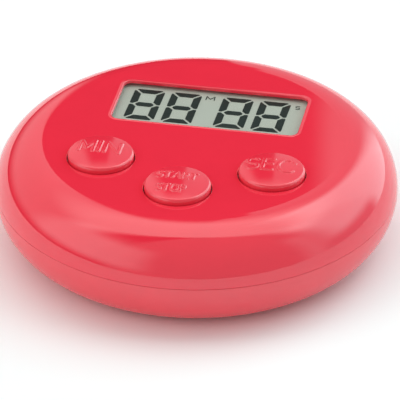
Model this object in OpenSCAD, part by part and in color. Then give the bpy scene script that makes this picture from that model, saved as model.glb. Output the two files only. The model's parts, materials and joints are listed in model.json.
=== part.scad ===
// Round pebble-shaped countdown timer with a digital display and three buttons.
// Millimetres, +Z up, origin at the centre of the base. +Y points from the buttons to the display.

/* [Housing] */
// Diameter over the rounded rim
body_d = 80; // [78:0.5:88]
// Height from the base to the flat face
body_h = 21; // [20:0.25:24]
// Thickness of the housing walls
wall_t = 2; // [1.7:0.1:2.3]
// Width of the slightly conical band round the flat face
face_band_w = 0.9; // [0.6:0.1:1.5]
// Height of the parting line above the base
parting_h = 11.25; // [9.5:0.25:11.5]
// Width of the fine groove at the parting line
seam_w = 0.1; // [0.05:0.05:0.3]
// Depth of the fine groove at the parting line
seam_depth = 0.15; // [0.1:0.05:0.4]
// Height of the locating lip above the parting line
lip_h = 1.5; // [1:0.25:2.5]
// Thickness of the locating lip
lip_t = 0.9; // [0.7:0.1:1.2]

/* [Display window] */
// Width of the window
window_w = 37.6; // [36:0.2:38.4]
// Length of the window, front to back
window_l = 15.2; // [14.8:0.2:15.6]
// Sideways place of the window's centre
window_x = 0.4; // [-0.5:0.1:0.8]
// Place of the window's centre behind the face's centre
window_y = 12.3; // [11.8:0.1:12.5]
// Corner radius of the window
window_r = 1.6; // [1:0.1:2.4]
// Chamfer round the window
window_chamfer = 0.4; // [0.2:0.05:0.45]
// Depth of the window's edge down to the pane
window_lip_t = 0.6; // [0.55:0.05:0.8]
// Thickness of the window pane
pane_t = 0.5; // [0.4:0.05:0.6]
// Overlap of the pane and the glass under the window's edge
pane_margin = 1.6; // [1.3:0.1:1.8]
// Corner radius of the pane
pane_r = 0.5; // [0.3:0.1:1]

/* [LCD] */
// Thickness of each LCD glass
glass_t = 0.5; // [0.4:0.05:0.6]
// Thickness of the reflector film
reflector_t = 0.1; // [0.05:0.05:0.2]
// Thickness of the segments
segment_t = 0.05; // [0.05:0.01:0.1]
// Width of the front glass's contact ledge
ledge_w = 1.9; // [1.8:0.1:2.4]
// Width of a digit
digit_w = 5.95; // [5.6:0.05:6.2]
// Height of a digit
digit_h = 10.4; // [9.8:0.1:10.6]
// Thickness of a digit's bars
digit_bar = 1.55; // [1.2:0.05:1.8]
// Gap between neighbouring bars
digit_gap = 0.28; // [0.2:0.02:0.4]
// Step from one digit to the next in a pair
digit_pitch = 7.6; // [7.4:0.1:7.9]
// Step from the second digit to the third
pair_pitch = 10.65; // [10.2:0.05:11]
// Sideways place of the digits from the window's centre
digits_x = -0.65; // [-1:0.05:0]
// Place of the digits behind the window's centre
digits_y = 1.15; // [0.8:0.05:1.3]

/* [Display frame] */
// Thickness of the frame's walls
frame_t = 0.9; // [0.7:0.1:1.1]
// Width of the seat under the glass
frame_seat_w = 1.4; // [1:0.1:1.8]
// Thickness of the zebra strip, front to back
zebra_w = 1.3; // [1:0.1:1.5]
// Diameter of the frame's locating pins
pin_d = 1.2; // [1:0.1:1.4]
// Place of the locating pins in from the frame's sides
pin_inset = 1.1; // [0.9:0.1:1.2]

/* [Buttons] */
// Diameter of a button
button_d = 13; // [12:0.25:13.5]
// Height of a button's edge above the face
button_rise = 1.5; // [1.2:0.1:2]
// Radius of the crown of a button's top
button_crown_r = 42; // [30:1:80]
// Radius of the rounded edge of a button's top
button_edge_r = 0.9; // [0.4:0.05:1.1]
// Sideways place of the two outer buttons
outer_button_x = 17; // [16.5:0.25:18]
// Place of the outer buttons in front of the face's centre
outer_button_y = -10.5; // [-10.5:0.25:-9.5]
// Place of the middle button in front of the face's centre
middle_button_y = -19; // [-20:0.25:-18]
// How far a button travels
button_travel = 1; // [0.6:0.1:1.2]
// Width of the flange that keeps a button in
flange_w = 0.8; // [0.6:0.1:0.9]
// Thickness of that flange
flange_t = 0.8; // [0.6:0.1:1]
// Diameter of the plunger under a button
plunger_d = 5; // [4:0.25:6]
// Length of the plunger under the flange
plunger_len = 0.3; // [0.2:0.1:0.6]
// Chamfer round a button's hole
hole_chamfer = 0.15; // [0.1:0.05:0.3]
// Width of the key that stops a button from turning
key_w = 1.6; // [1.2:0.1:2]
// Reach of the key from the flange
key_reach = 1.2; // [0.8:0.1:1.4]
// Thickness of the guides beside a key
guide_t = 0.9; // [0.7:0.1:1.2]

/* [Keypad] */
// Thickness of the silicone mat
mat_t = 0.6; // [0.4:0.1:0.8]
// Diameter of the mat round each dome
mat_d = 13.6; // [12:0.2:14]
// Width of the webs between the domes
mat_web_w = 6; // [4:0.5:8]
// Base diameter of a dome
dome_d = 8.4; // [7.8:0.2:9]
// Thickness of a dome's roof
dome_roof_t = 0.55; // [0.4:0.05:0.7]
// Thickness of a dome's skirt
dome_skirt_t = 0.4; // [0.3:0.05:0.5]
// Diameter of the contact pill in a dome
pill_d = 3; // [2:0.25:4]
// Thickness of the contact pill
pill_t = 0.25; // [0.15:0.05:0.4]

/* [Circuit board] */
// Thickness of the board
board_t = 1.2; // [1:0.1:1.6]
// Gap between the board's edge and the rim
board_edge_gap = 2; // [1.5:0.25:3]
// Diameter of the bosses that carry the board
board_boss_d = 4.2; // [3.8:0.2:4.6]
// Thread diameter of the board screws
board_screw_d = 1.7; // [1.4:0.1:2]
// Head diameter of the board screws
board_head_d = 3.2; // [2.8:0.1:3.6]
// Head height of the board screws
board_head_h = 0.9; // [0.7:0.1:1.2]
// Length of the board screws under the head
board_screw_len = 3.6; // [3:0.2:3.8]
// Sideways place of the board's back screws
board_screw_x = 12; // [10:0.5:14]
// Place of the board's side screws, measured from the face's centre
board_screw_y = -1.5; // [-3:0.25:0]
// Diameter of the chip's blob
blob_d = 9; // [7:0.5:11]
// Height of the chip's blob
blob_h = 1.2; // [0.8:0.1:1.6]
// Diameter of the quartz crystal's can
crystal_d = 2; // [1.5:0.1:3]
// Length of the quartz crystal's can
crystal_len = 6; // [5:0.5:8]
// Width of a resistor or capacitor
chip_part_w = 1.25; // [0.8:0.05:1.6]
// Length of a resistor or capacitor
chip_part_l = 2; // [1.6:0.1:3.2]
// Height of a resistor or capacitor
chip_part_h = 0.6; // [0.4:0.05:1]
// Step between resistors or capacitors
chip_part_step = 3.5; // [3.2:0.1:4]
// Diameter of the buzzer coil
coil_d = 5.5; // [5:0.25:6.5]
// Height of the buzzer coil
coil_h = 3.6; // [3:0.2:4]
// Diameter of the coil's winding
coil_core_d = 4.4; // [3.6:0.1:4.8]
// Thickness of the bobbin's flanges
coil_flange_t = 0.6; // [0.4:0.1:0.9]

/* [Case screws] */
// Distance of the front case screws from the edge of the flat face
screw_inset = 2.3; // [2:0.1:2.6]
// Gap between the display frame and the back case screw's boss
display_boss_gap = 1.5; // [1:0.1:2.4]
// Diameter of the screw bosses
boss_d = 5.6; // [5.2:0.2:6]
// Thread diameter of the case screws
screw_d = 2.6; // [2.2:0.1:3]
// Head diameter of the case screws
head_d = 4.6; // [4:0.1:4.8]
// Head height of the case screws
head_h = 1.6; // [1.2:0.1:2]
// Depth of the screw heads in the base
head_depth = 1.2; // [0.8:0.1:2]
// Length of the case screws under the head
screw_len = 9; // [7:0.5:11]
// Height of the pillars in the bottom housing
pillar_h = 8; // [7:0.25:9]

/* [Battery] */
// Place of the battery behind the centre of the base
battery_y = 5.5; // [4.5:0.25:6]
// Diameter of the coin cell
cell_d = 20; // [19:0.25:20.5]
// Thickness of the coin cell
cell_t = 3.2; // [2.5:0.1:3.6]
// Diameter of the battery cover
cover_d = 27; // [26.8:0.2:28]
// Thickness of the battery cover's plate
cover_t = 1.5; // [1.3:0.1:1.8]
// Recess of the cover and the magnets in the base
base_recess = 0.1; // [0.05:0.05:0.3]
// Diameter of the cover's neck
neck_d = 23.2; // [22.8:0.2:23.6]
// Thickness of the neck's wall
neck_t = 2.6; // [2:0.1:3]
// Thickness of the bayonet ring in the base
ring_t = 1.6; // [1.2:0.1:2]
// Height of the bayonet lugs
lug_h = 1; // [0.8:0.1:1.4]
// Reach of the bayonet lugs from the neck
lug_reach = 1.5; // [1.1:0.1:1.6]
// Angle that each bayonet lug spans
lug_angle = 32; // [24:2:36]
// Angle that the cover turns between locked and open
cover_turn = 45; // [42:1:48]
// Length of the coin slot
coin_slot_len = 15; // [12:0.5:17]
// Width of the coin slot
coin_slot_w = 2; // [1.5:0.1:2.5]
// Depth of the coin slot
coin_slot_depth = 0.8; // [0.5:0.1:0.9]
// Thickness of the battery compartment's walls
pocket_wall_t = 1.2; // [1:0.1:1.5]
// Thickness of the contact leaves
leaf_t = 0.3; // [0.2:0.05:0.4]
// Width of the contact leaves
leaf_w = 3.5; // [2.5:0.25:4.5]
// Width of the cell can's shoulder round its cap
cell_shoulder_w = 1.1; // [0.8:0.1:1.6]
// Height of the cell's cap above its can
cell_cap_h = 0.6; // [0.4:0.05:0.8]
// Chamfer of the cell's edges
cell_edge = 0.3; // [0.15:0.05:0.4]

/* [Ribs] */
// Thickness of the ribs in the base
rib_t = 1; // [0.8:0.1:1.4]
// Height of the ribs above the floor
rib_h = 1.8; // [1.2:0.1:2]

/* [Buzzer] */
// Diameter of the piezo disc
piezo_d = 15; // [14:0.5:16]
// Thickness of the piezo disc
piezo_t = 0.25; // [0.2:0.05:0.4]
// Diameter of the ceramic on the disc
ceramic_d = 10; // [8:0.5:11]
// Thickness of the ceramic
ceramic_t = 0.2; // [0.15:0.05:0.3]
// Place of the buzzer in front of the base's centre
piezo_y = -19.5; // [-20:0.25:-19.25]
// Height of the buzzer's seat above the floor
piezo_seat_h = 1; // [0.8:0.1:1.5]
// Width of the ledge that carries the buzzer's edge
piezo_ledge_w = 1.2; // [0.8:0.1:1.5]
// Height of the seat's rim above the ledge
piezo_rim_h = 0.5; // [0.4:0.05:0.8]
// Diameter of the sound holes
sound_hole_d = 1.3; // [0.8:0.1:1.8]
// Radius of the ring of sound holes
sound_ring_r = 3.2; // [2.6:0.1:4]
// Diameter of the buzzer wires
wire_d = 0.8; // [0.6:0.1:1.2]

/* [Magnets] */
// Diameter of each magnet
magnet_d = 10; // [9:0.25:10.5]
// Thickness of each magnet
magnet_t = 2; // [1.5:0.1:2.5]
// Sideways place of the magnets
magnet_x = 21.5; // [21.25:0.25:22]

/* [Clearances] */
// Gap round a button in its hole
button_gap = 0.2; // [0.15:0.05:0.3]
// Gap round pieces that are laid in a pocket
pocket_gap = 0.15; // [0.1:0.05:0.25]
// Gap between stacked pieces
stack_gap = 0.05; // [0.03:0.01:0.1]
// Gap over the flange of a button
flange_gap = 0.1; // [0.05:0.05:0.2]
// Gap round the battery cover and its neck
cover_gap = 0.2; // [0.15:0.05:0.3]
// Gap round a screw in its through hole
screw_gap = 0.2; // [0.1:0.05:0.3]
// Gap between the board and the bosses that pass it
boss_gap = 0.3; // [0.2:0.05:0.4]

/* [Hidden] */
$fn = 96;
over = 0.5;                 // how far a cutter passes the face it cuts

red = "#e8304a";
lcd_green = "#b6c0b0";

// Housing section: a disc with a half-round rim
rim_r = body_h / 2;
face_r = body_d / 2 - rim_r;
ceiling_z = body_h - wall_t;
inner_rim_r = rim_r - wall_t;
function outer_wall_r(z) = face_r + sqrt(pow(rim_r, 2) - pow(z - rim_r, 2));
function inner_wall_r(z) = face_r + sqrt(pow(inner_rim_r, 2) - pow(z - rim_r, 2));
function rim_drop(dr) = rim_r - sqrt(pow(rim_r, 2) - pow(dr, 2));

// Point at radius r from the axis, equally far from a and b
function midway(a, b, r) =
  let(m = (a + b) / 2, n = [b.y - a.y, a.x - b.x] / norm(b - a), d = m * n)
    m + n * (sqrt(pow(d, 2) - m * m + pow(r, 2)) - d);

// Display stack, from the face down
pane_top_z = body_h - window_lip_t;
pane_z = pane_top_z - pane_t;
front_glass_z = pane_z - stack_gap - segment_t - glass_t;
rear_glass_z = front_glass_z - glass_t;
reflector_z = rear_glass_z - reflector_t;
pane_w = window_w + 2 * pane_margin;
pane_l = window_l + 2 * pane_margin;
glass_front_y = window_y - pane_l / 2;
rear_glass_l = pane_l - ledge_w;
rear_glass_y = window_y + ledge_w / 2;
frame_w = pane_w + 2 * (pocket_gap + frame_t);
frame_l = pane_l + 2 * (pocket_gap + frame_t);
FRAME_PINS = [
  for (s = [-1, 1]) [window_x + s * (frame_w / 2 - pin_inset), window_y - s * (frame_l / 2 - pin_inset)]
];

// Buttons, domes and board, from the ceiling down
hole_d = button_d + 2 * button_gap;
flange_r = button_d / 2 + flange_w;
flange_top_z = ceiling_z - flange_gap;
plunger_z = flange_top_z - flange_t - plunger_len;
dome_top_z = plunger_z - stack_gap;
board_top_z = dome_top_z - dome_roof_t - pill_t - button_travel - stack_gap;
board_z = board_top_z - board_t;
mat_top_z = board_top_z + mat_t;
board_r = inner_wall_r(board_top_z) - board_edge_gap;
BUTTONS = [[-outer_button_x, outer_button_y], [0, middle_button_y], [outer_button_x, outer_button_y]];

// Fasteners: one case screw behind the display, one each side between two buttons
screw_ring_r = face_r - screw_inset;
SCREWS = [
  [0, window_y + frame_l / 2 + display_boss_gap + boss_d / 2],
  midway(BUTTONS[0], BUTTONS[1], screw_ring_r),
  midway(BUTTONS[1], BUTTONS[2], screw_ring_r)
];
top_boss_z = pillar_h + stack_gap;
head_top_z = head_depth + head_h;
board_back_y = window_y + frame_l / 2 + board_boss_d / 2 + 2 * boss_gap;
board_side_x = frame_w / 2 + board_boss_d;
BOARD_SCREWS = [
  [-board_side_x, board_screw_y], [board_side_x, board_screw_y],
  [window_x - board_screw_x, board_back_y], [window_x + board_screw_x, board_back_y]
];

// Battery compartment, from the base up
cover_seat_z = base_recess + cover_t + stack_gap;
ring_top_z = cover_seat_z + ring_t;
lug_z = ring_top_z + stack_gap;
neck_top_z = lug_z + lug_h;
cell_z = neck_top_z + 2 * stack_gap;
pocket_top_z = cell_z + cell_t + stack_gap + leaf_t + 2 * stack_gap;
chamber_r = neck_d / 2 + lug_reach + cover_gap;
pocket_r = cell_d / 2 + pocket_gap;
lug_count = 3;
lug_step = 360 / lug_count;
LUG_ANGLES = [for (i = [0:lug_count - 1]) 30 + i * lug_step];
lug_play = 3;               // extra angle each side of a lug in its entry slot
stop_play = 2;              // angle between a locked lug and its stop
leaf_x = cell_d / 4;        // reach of the negative leaf over the cell's cap
RIB_ANGLES = [45, 90, 135, 225, 315];

// Buzzer, from the floor up
piezo_z = wall_t + piezo_seat_h;
ceramic_z = piezo_z + piezo_t;
sound_hole_count = 6;

module at_each(places) {
  for (p = places) translate([p.x, p.y, 0]) children();
}

module round_rect(w, l, r) {
  for (x = [-1, 1], y = [-1, 1]) translate([x * (w / 2 - r), y * (l / 2 - r)]) circle(r);
  square([w - 2 * r, l], center = true);
  square([w, l - 2 * r], center = true);
}

module slab(w, l, r, z0, z1) {
  translate([0, 0, z0]) linear_extrude(z1 - z0) round_rect(w, l, r);
}

module block(x0, x1, y0, y1, z0, z1) {
  translate([x0, y0, z0]) cube([x1 - x0, y1 - y0, z1 - z0]);
}

module disc(d, z0, z1) {
  translate([0, 0, z0]) cylinder(d = d, h = z1 - z0);
}

// Part of a ring between two radii and two angles less than 90 degrees apart
module ring_sector(r0, r1, a0, a1, z0, z1) {
  reach = 2 * r1;
  translate([0, 0, z0]) linear_extrude(z1 - z0) intersection() {
    difference() {
      circle(r1);
      circle(r0);
    }
    polygon([[0, 0], reach * [cos(a0), sin(a0)], reach * [cos(a1), sin(a1)]]);
  }
}

// Half section of the pebble, inset all round
module pebble_section(inset) {
  translate([face_r, rim_r]) circle(rim_r - inset);
  translate([0, inset]) square([face_r, body_h - 2 * inset]);
}

// Everything under the face and the conical band that bounds it
module under_face_band() {
  band_r = face_r + face_band_w;
  slope = rim_drop(face_band_w) / face_band_w;
  reach = rim_r;
  polygon([
    [0, -over], [face_r + reach, -over], [face_r + reach, body_h - slope * reach],
    [face_r, body_h], [0, body_h]
  ]);
}

module shell_section(z0, z1) {
  intersection() {
    difference() {
      pebble_section(0);
      pebble_section(wall_t);
    }
    under_face_band();
    translate([0, z0]) square([body_d, z1 - z0]);
  }
}

// Window opening with its chamfer, as a cutter
module window_cutter() {
  top_c = window_chamfer + over;
  z0 = body_h - window_chamfer;
  x0 = window_w / 2 - window_r;
  y0 = window_l / 2 - window_r;
  slab(window_w, window_l, window_r, pane_top_z - over, body_h + over);
  for (x = [-x0, x0], y = [-y0, y0])
    translate([x, y, z0]) cylinder(r1 = window_r, r2 = window_r + top_c, h = top_c);
  for (s = [[0, window_w, y0], [90, window_l, x0]])
    rotate([0, 0, s[0]]) translate([0, s[2], 0]) rotate([90, 0, 0]) linear_extrude(2 * s[2])
      polygon([
        [-s[1] / 2, z0], [s[1] / 2, z0], [s[1] / 2 + top_c, z0 + top_c], [-s[1] / 2 - top_c, z0 + top_c]
      ]);
}

// Two guides under the ceiling, one each side of a button's key
module key_guides() {
  for (s = [-1, 1]) translate([s * (key_w / 2 + button_gap + guide_t / 2), 0, 0])
    block(-guide_t / 2, guide_t / 2, flange_r + button_gap, flange_r + key_reach,
      flange_top_z - flange_t - button_travel, ceiling_z + over);
}

module top_housing() {
  color(red) difference() {
    union() {
      difference() {
        rotate_extrude() shell_section(parting_h, body_h);
        // Pocket for the pane and the LCD
        translate([window_x, window_y, ceiling_z - over])
          linear_extrude(pane_top_z - ceiling_z + over)
            square([pane_w + 2 * pocket_gap, pane_l + 2 * pocket_gap], center = true);
      }
      at_each(SCREWS) disc(boss_d, top_boss_z, ceiling_z + over);
      at_each(BOARD_SCREWS) disc(board_boss_d, board_top_z, ceiling_z + over / 2);
      at_each(BUTTONS) key_guides();
    }
    // Fine groove at the parting line
    rotate_extrude() translate([outer_wall_r(parting_h) - seam_depth, parting_h - over])
      square([over + seam_depth, over + seam_w]);
    translate([window_x, window_y, 0]) window_cutter();
    at_each(BUTTONS) {
      disc(hole_d, ceiling_z - over, body_h + over);
      translate([0, 0, body_h - hole_chamfer])
        cylinder(d1 = hole_d, d2 = hole_d + 2 * (hole_chamfer + over), h = hole_chamfer + over);
    }
    at_each(SCREWS) disc(screw_d, top_boss_z - over, head_top_z + screw_len + 2 * stack_gap);
    at_each(BOARD_SCREWS) disc(board_screw_d, board_top_z - over, board_z + board_screw_len + 2 * stack_gap);
  }
}

module bottom_housing() {
  lip_r = inner_wall_r(parting_h + lip_h) - pocket_gap;
  chamber_top_z = cell_z;
  notch_x = pocket_r + leaf_t;
  color(red) difference() {
    union() {
      rotate_extrude() shell_section(0, parting_h);
      // Locating lip inside the top housing
      rotate_extrude() intersection() {
        pebble_section(wall_t / 2);
        translate([lip_r - lip_t, wall_t]) square([lip_t, parting_h + lip_h - wall_t]);
      }
      // Ribs from the battery compartment to the rim
      intersection() {
        rotate_extrude() pebble_section(wall_t / 2);
        for (a = RIB_ANGLES) translate([0, battery_y, 0]) rotate([0, 0, a])
          block(chamber_r, body_d, -rib_t / 2, rib_t / 2, 0, wall_t + rib_h);
      }
      at_each(SCREWS) disc(boss_d, wall_t / 2, pillar_h);
      // Battery compartment
      translate([0, battery_y, 0]) {
        disc(2 * (chamber_r + pocket_wall_t), wall_t / 2, chamber_top_z + pocket_wall_t);
        disc(2 * (pocket_r + leaf_t + pocket_wall_t), wall_t / 2, pocket_top_z + pocket_wall_t);
      }
      // Magnet cups
      for (x = [-magnet_x, magnet_x]) translate([x, battery_y, 0])
        disc(magnet_d + 2 * pocket_wall_t, wall_t / 2, base_recess + magnet_t + stack_gap + pocket_wall_t);
      // Buzzer seat
      translate([0, piezo_y, 0])
        disc(piezo_d + 2 * (pocket_gap + pocket_wall_t), wall_t / 2, piezo_z + piezo_rim_h);
    }
    at_each(SCREWS) {
      disc(head_d + 2 * screw_gap, -over, head_top_z);
      disc(screw_d + 2 * screw_gap, head_top_z - over, pillar_h + over);
    }
    translate([0, battery_y, 0]) {
      disc(cover_d + 2 * cover_gap, -over, cover_seat_z);
      disc(neck_d + 2 * cover_gap, cover_seat_z - over, ring_top_z + over);
      // Entry slots for the lugs
      for (a = LUG_ANGLES)
        ring_sector(neck_d / 2 - 1, chamber_r - cover_gap / 2, a - cover_turn - lug_angle / 2 - lug_play,
          a - cover_turn + lug_angle / 2 + lug_play, cover_seat_z - over, ring_top_z + over);
      // Room that the lugs turn in, less the stops between them
      difference() {
        disc(2 * chamber_r, ring_top_z, chamber_top_z);
        for (a = LUG_ANGLES)
          ring_sector(neck_d / 2 + cover_gap, chamber_r + over, a + lug_angle / 2 + stop_play,
            a + lug_step - cover_turn - lug_angle / 2 - lug_play, ring_top_z - over, chamber_top_z + over);
      }
      disc(2 * pocket_r, chamber_top_z - over, pocket_top_z);
      // Notch for the positive leaf and slot for the negative leaf
      block(-notch_x, -pocket_r + over, -leaf_w / 2 - pocket_gap, leaf_w / 2 + pocket_gap,
        chamber_top_z - over, pocket_top_z + 2 * pocket_wall_t);
      block(leaf_x - pocket_gap, leaf_x + leaf_t + pocket_gap, -leaf_w / 2 - pocket_gap,
        leaf_w / 2 + pocket_gap, pocket_top_z - over, pocket_top_z + 2 * pocket_wall_t);
    }
    for (x = [-magnet_x, magnet_x]) translate([x, battery_y, 0])
      disc(magnet_d + 2 * pocket_gap, -over, base_recess + magnet_t);
    // Resonance chamber, seat and sound holes of the buzzer
    translate([0, piezo_y, 0]) {
      disc(piezo_d + 2 * pocket_gap, piezo_z, piezo_z + piezo_rim_h + over);
      disc(piezo_d - 2 * piezo_ledge_w, wall_t, piezo_z + over);
      disc(sound_hole_d, -over, wall_t + over);
      for (i = [1:sound_hole_count]) rotate([0, 0, i * 360 / sound_hole_count])
        translate([sound_ring_r, 0, 0]) disc(sound_hole_d, -over, wall_t + over);
    }
  }
}

module display_pane() {
  color("#dfe8e8", 0.35) translate([window_x, window_y, 0]) slab(pane_w, pane_l, pane_r, pane_z, pane_top_z);
}

module lcd_front_glass() {
  color(lcd_green) translate([window_x, window_y, front_glass_z + glass_t / 2])
    cube([pane_w, pane_l, glass_t], center = true);
}

module lcd_rear_glass() {
  color(lcd_green) translate([window_x, rear_glass_y, rear_glass_z + glass_t / 2])
    cube([pane_w, rear_glass_l, glass_t], center = true);
}

module lcd_reflector() {
  color("silver") translate([window_x, rear_glass_y, reflector_z + reflector_t / 2])
    cube([pane_w, rear_glass_l, reflector_t], center = true);
}

// One digit, all seven bars lit, centred on the origin
module digit() {
  hw = digit_w / 2;
  hh = digit_h / 2;
  b = digit_bar;
  g = digit_gap;
  for (s = [-1, 1]) scale([1, s]) polygon([
    [-hw + g, hh], [hw - g, hh], [hw - b - g / 2, hh - b], [-hw + b + g / 2, hh - b]
  ]);
  for (sx = [-1, 1], sy = [-1, 1]) scale([sx, sy]) polygon([
    [hw, hh - g], [hw - b, hh - b - g], [hw - b, b / 2 + g], [hw - b / 2, g / 2], [hw, g / 2 + b / 4]
  ]);
  polygon([
    [-hw + b / 2 + g, 0], [-hw + b + g, b / 2], [hw - b - g, b / 2],
    [hw - b / 2 - g, 0], [hw - b - g, -b / 2], [-hw + b + g, -b / 2]
  ]);
}

module lcd_segments() {
  left = -(2 * digit_pitch + pair_pitch) / 2;
  steps = [0, digit_pitch, digit_pitch + pair_pitch, 2 * digit_pitch + pair_pitch];
  color("#20241f")
    translate([window_x + digits_x, window_y + digits_y, front_glass_z + glass_t])
    for (x = steps) translate([left + x, 0, 0]) linear_extrude(segment_t) digit();
}

module display_frame() {
  inner_w = pane_w - 2 * frame_seat_w;
  inner_l = rear_glass_l - 2 * frame_seat_w;
  zebra_y = glass_front_y - window_y + (ledge_w - zebra_w) / 2;
  color("ivory") at_each(FRAME_PINS) disc(pin_d, board_z, board_top_z + over);
  color("ivory") translate([window_x, window_y, 0]) difference() {
    // Its corners follow the curve of the housing
    intersection() {
      slab(frame_w, frame_l, window_r, board_top_z, ceiling_z - 2 * stack_gap);
      translate([-window_x, -window_y, 0]) rotate_extrude() pebble_section(wall_t + stack_gap);
    }
    translate([-pane_w / 2 - pocket_gap, -pane_l / 2 - pocket_gap, reflector_z])
      cube([pane_w + 2 * pocket_gap, pane_l + 2 * pocket_gap, body_h]);
    translate([-inner_w / 2, ledge_w / 2 - inner_l / 2, board_top_z - over]) cube([inner_w, inner_l, body_h]);
    block(-inner_w / 2 - pocket_gap, inner_w / 2 + pocket_gap, zebra_y - pocket_gap,
      zebra_y + zebra_w + pocket_gap, board_top_z - over, body_h);
  }
}

module zebra_strip() {
  zebra_len = pane_w - 2 * frame_seat_w;
  color("pink") translate([window_x - zebra_len / 2, glass_front_y + (ledge_w - zebra_w) / 2, board_top_z])
    cube([zebra_len, zebra_w, front_glass_z - board_top_z]);
}

module main_board() {
  color("darkgreen") difference() {
    disc(2 * board_r, board_z, board_top_z);
    at_each(SCREWS) disc(boss_d + 2 * boss_gap, board_z - over, board_top_z + over);
    at_each(BOARD_SCREWS) disc(board_screw_d + 2 * screw_gap, board_z - over, board_top_z + over);
    at_each(FRAME_PINS) disc(pin_d + 2 * stack_gap, board_z - over, board_top_z + over);
  }
}

// Black resin dome over the chip
module chip_blob() {
  dome_r = (pow(blob_d / 2, 2) + pow(blob_h, 2)) / (2 * blob_h);
  color("#151515") translate([window_x, rear_glass_y, board_top_z]) rotate_extrude()
    intersection() {
      translate([0, blob_h - dome_r]) circle(dome_r);
      square([blob_d, blob_h]);
    }
}

// Tuning-fork can that lies under the board
module quartz_crystal() {
  color("silver") translate([-window_w / 2, window_y, board_z - crystal_d / 2])
    rotate([0, 90, 0]) cylinder(d = crystal_d, h = crystal_len);
}

// Resistors and capacitors under the board, in two rows
module small_parts() {
  columns = 6;
  color("#3a3430") for (i = [0:columns - 1], row = [0, 1]) translate([
    window_x + (i - (columns - 1) / 2) * chip_part_step,
    window_y + window_l / 2 - row * chip_part_step,
    board_z - chip_part_h / 2
  ]) cube([chip_part_w, chip_part_l, chip_part_h], center = true);
}

module buzzer_coil() {
  color("#b86b35") translate([outer_button_x, outer_button_y, board_z - coil_h]) {
    disc(coil_d, 0, coil_flange_t);
    disc(coil_core_d, coil_flange_t, coil_h - coil_flange_t);
    disc(coil_d, coil_h - coil_flange_t, coil_h);
  }
}

module mat_outline() {
  for (p = BUTTONS) translate(p) circle(d = mat_d);
  for (i = [0, 1]) {
    run = BUTTONS[i + 1] - BUTTONS[i];
    translate(BUTTONS[i]) rotate([0, 0, atan2(run.y, run.x)])
      translate([0, -mat_web_w / 2]) square([norm(run), mat_web_w]);
  }
}

module keypad_mat() {
  color("#9aa0a4") difference() {
    translate([0, 0, board_top_z]) linear_extrude(mat_t) mat_outline();
    at_each(BUTTONS) disc(dome_d - 2 * dome_skirt_t, board_top_z - over, mat_top_z + over);
  }
}

// Silicone dome with its contact pill, on the vertical axis
module dome() {
  roof_z = dome_top_z - dome_roof_t;
  foot_r = dome_d / 2;
  top_r = plunger_d / 2 + dome_skirt_t;
  color("#9aa0a4") rotate_extrude() {
    polygon([
      [foot_r - dome_skirt_t, mat_top_z], [foot_r, mat_top_z], [top_r, roof_z], [top_r, dome_top_z],
      [0, dome_top_z], [0, roof_z], [top_r - dome_skirt_t, roof_z]
    ]);
    translate([0, roof_z - pill_t]) square([pill_d / 2, pill_t]);
  }
}

module dome_min() { translate(BUTTONS[0]) dome(); }
module dome_start_stop() { translate(BUTTONS[1]) dome(); }
module dome_sec() { translate(BUTTONS[2]) dome(); }

// Button on the vertical axis: crowned cap, flange inside the housing, plunger
module button() {
  cap_r = button_d / 2;
  inset_r = cap_r - button_edge_r;
  edge_z = body_h + button_rise - button_edge_r;      // centre of the rounded edge
  crown_z = edge_z - sqrt(pow(button_crown_r - button_edge_r, 2) - pow(inset_r, 2));
  tangent_r = inset_r * button_crown_r / (button_crown_r - button_edge_r);
  flange_z = flange_top_z - flange_t;
  color(red) {
    rotate_extrude() {
      intersection() {
        translate([0, crown_z]) circle(button_crown_r);
        translate([0, edge_z]) square([tangent_r, cap_r]);
      }
      translate([0, flange_z]) square([cap_r, edge_z - flange_z]);
      translate([inset_r, edge_z]) circle(button_edge_r);
      translate([0, flange_z]) square([flange_r, flange_t]);
      translate([0, plunger_z]) square([plunger_d / 2, plunger_len + flange_t]);
    }
    // Key that runs between the two guides
    block(-key_w / 2, key_w / 2, cap_r, flange_r + key_reach, flange_z, flange_top_z);
  }
}

module min_button() { translate(BUTTONS[0]) button(); }
module start_stop_button() { translate(BUTTONS[1]) button(); }
module sec_button() { translate(BUTTONS[2]) button(); }

module piezo_disc() {
  color("gold") translate([0, piezo_y, 0]) disc(piezo_d, piezo_z, ceramic_z);
}

module piezo_ceramic() {
  color("white") translate([0, piezo_y, 0]) disc(ceramic_d, ceramic_z, ceramic_z + ceramic_t);
}

// Two wires from the buzzer up to the board
module buzzer_wires() {
  rim_x = (piezo_d + ceramic_d) / 4;
  color("#c02020") translate([0, piezo_y, 0]) {
    disc(wire_d, ceramic_z + ceramic_t, board_z);
    translate([rim_x, 0, 0]) disc(wire_d, ceramic_z, board_z);
  }
}

// Bayonet cover: plate, hollow neck with lugs, coin slot
module battery_cover() {
  slot_z = base_recess + coin_slot_depth;
  slot_x = (coin_slot_len - coin_slot_w) / 2;
  color(red) translate([0, battery_y, 0]) difference() {
    union() {
      disc(cover_d, base_recess, base_recess + cover_t);
      disc(neck_d, base_recess, neck_top_z);
      for (a = LUG_ANGLES)
        ring_sector(neck_d / 2 - neck_t / 2, neck_d / 2 + lug_reach, a - lug_angle / 2, a + lug_angle / 2,
          lug_z, neck_top_z);
    }
    disc(neck_d - 2 * neck_t, base_recess + cover_t, neck_top_z + over);
    block(-slot_x, slot_x, -coin_slot_w / 2, coin_slot_w / 2, -over, slot_z);
    for (x = [-slot_x, slot_x]) translate([x, 0, 0]) disc(coin_slot_w, -over, slot_z);
  }
}

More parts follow.
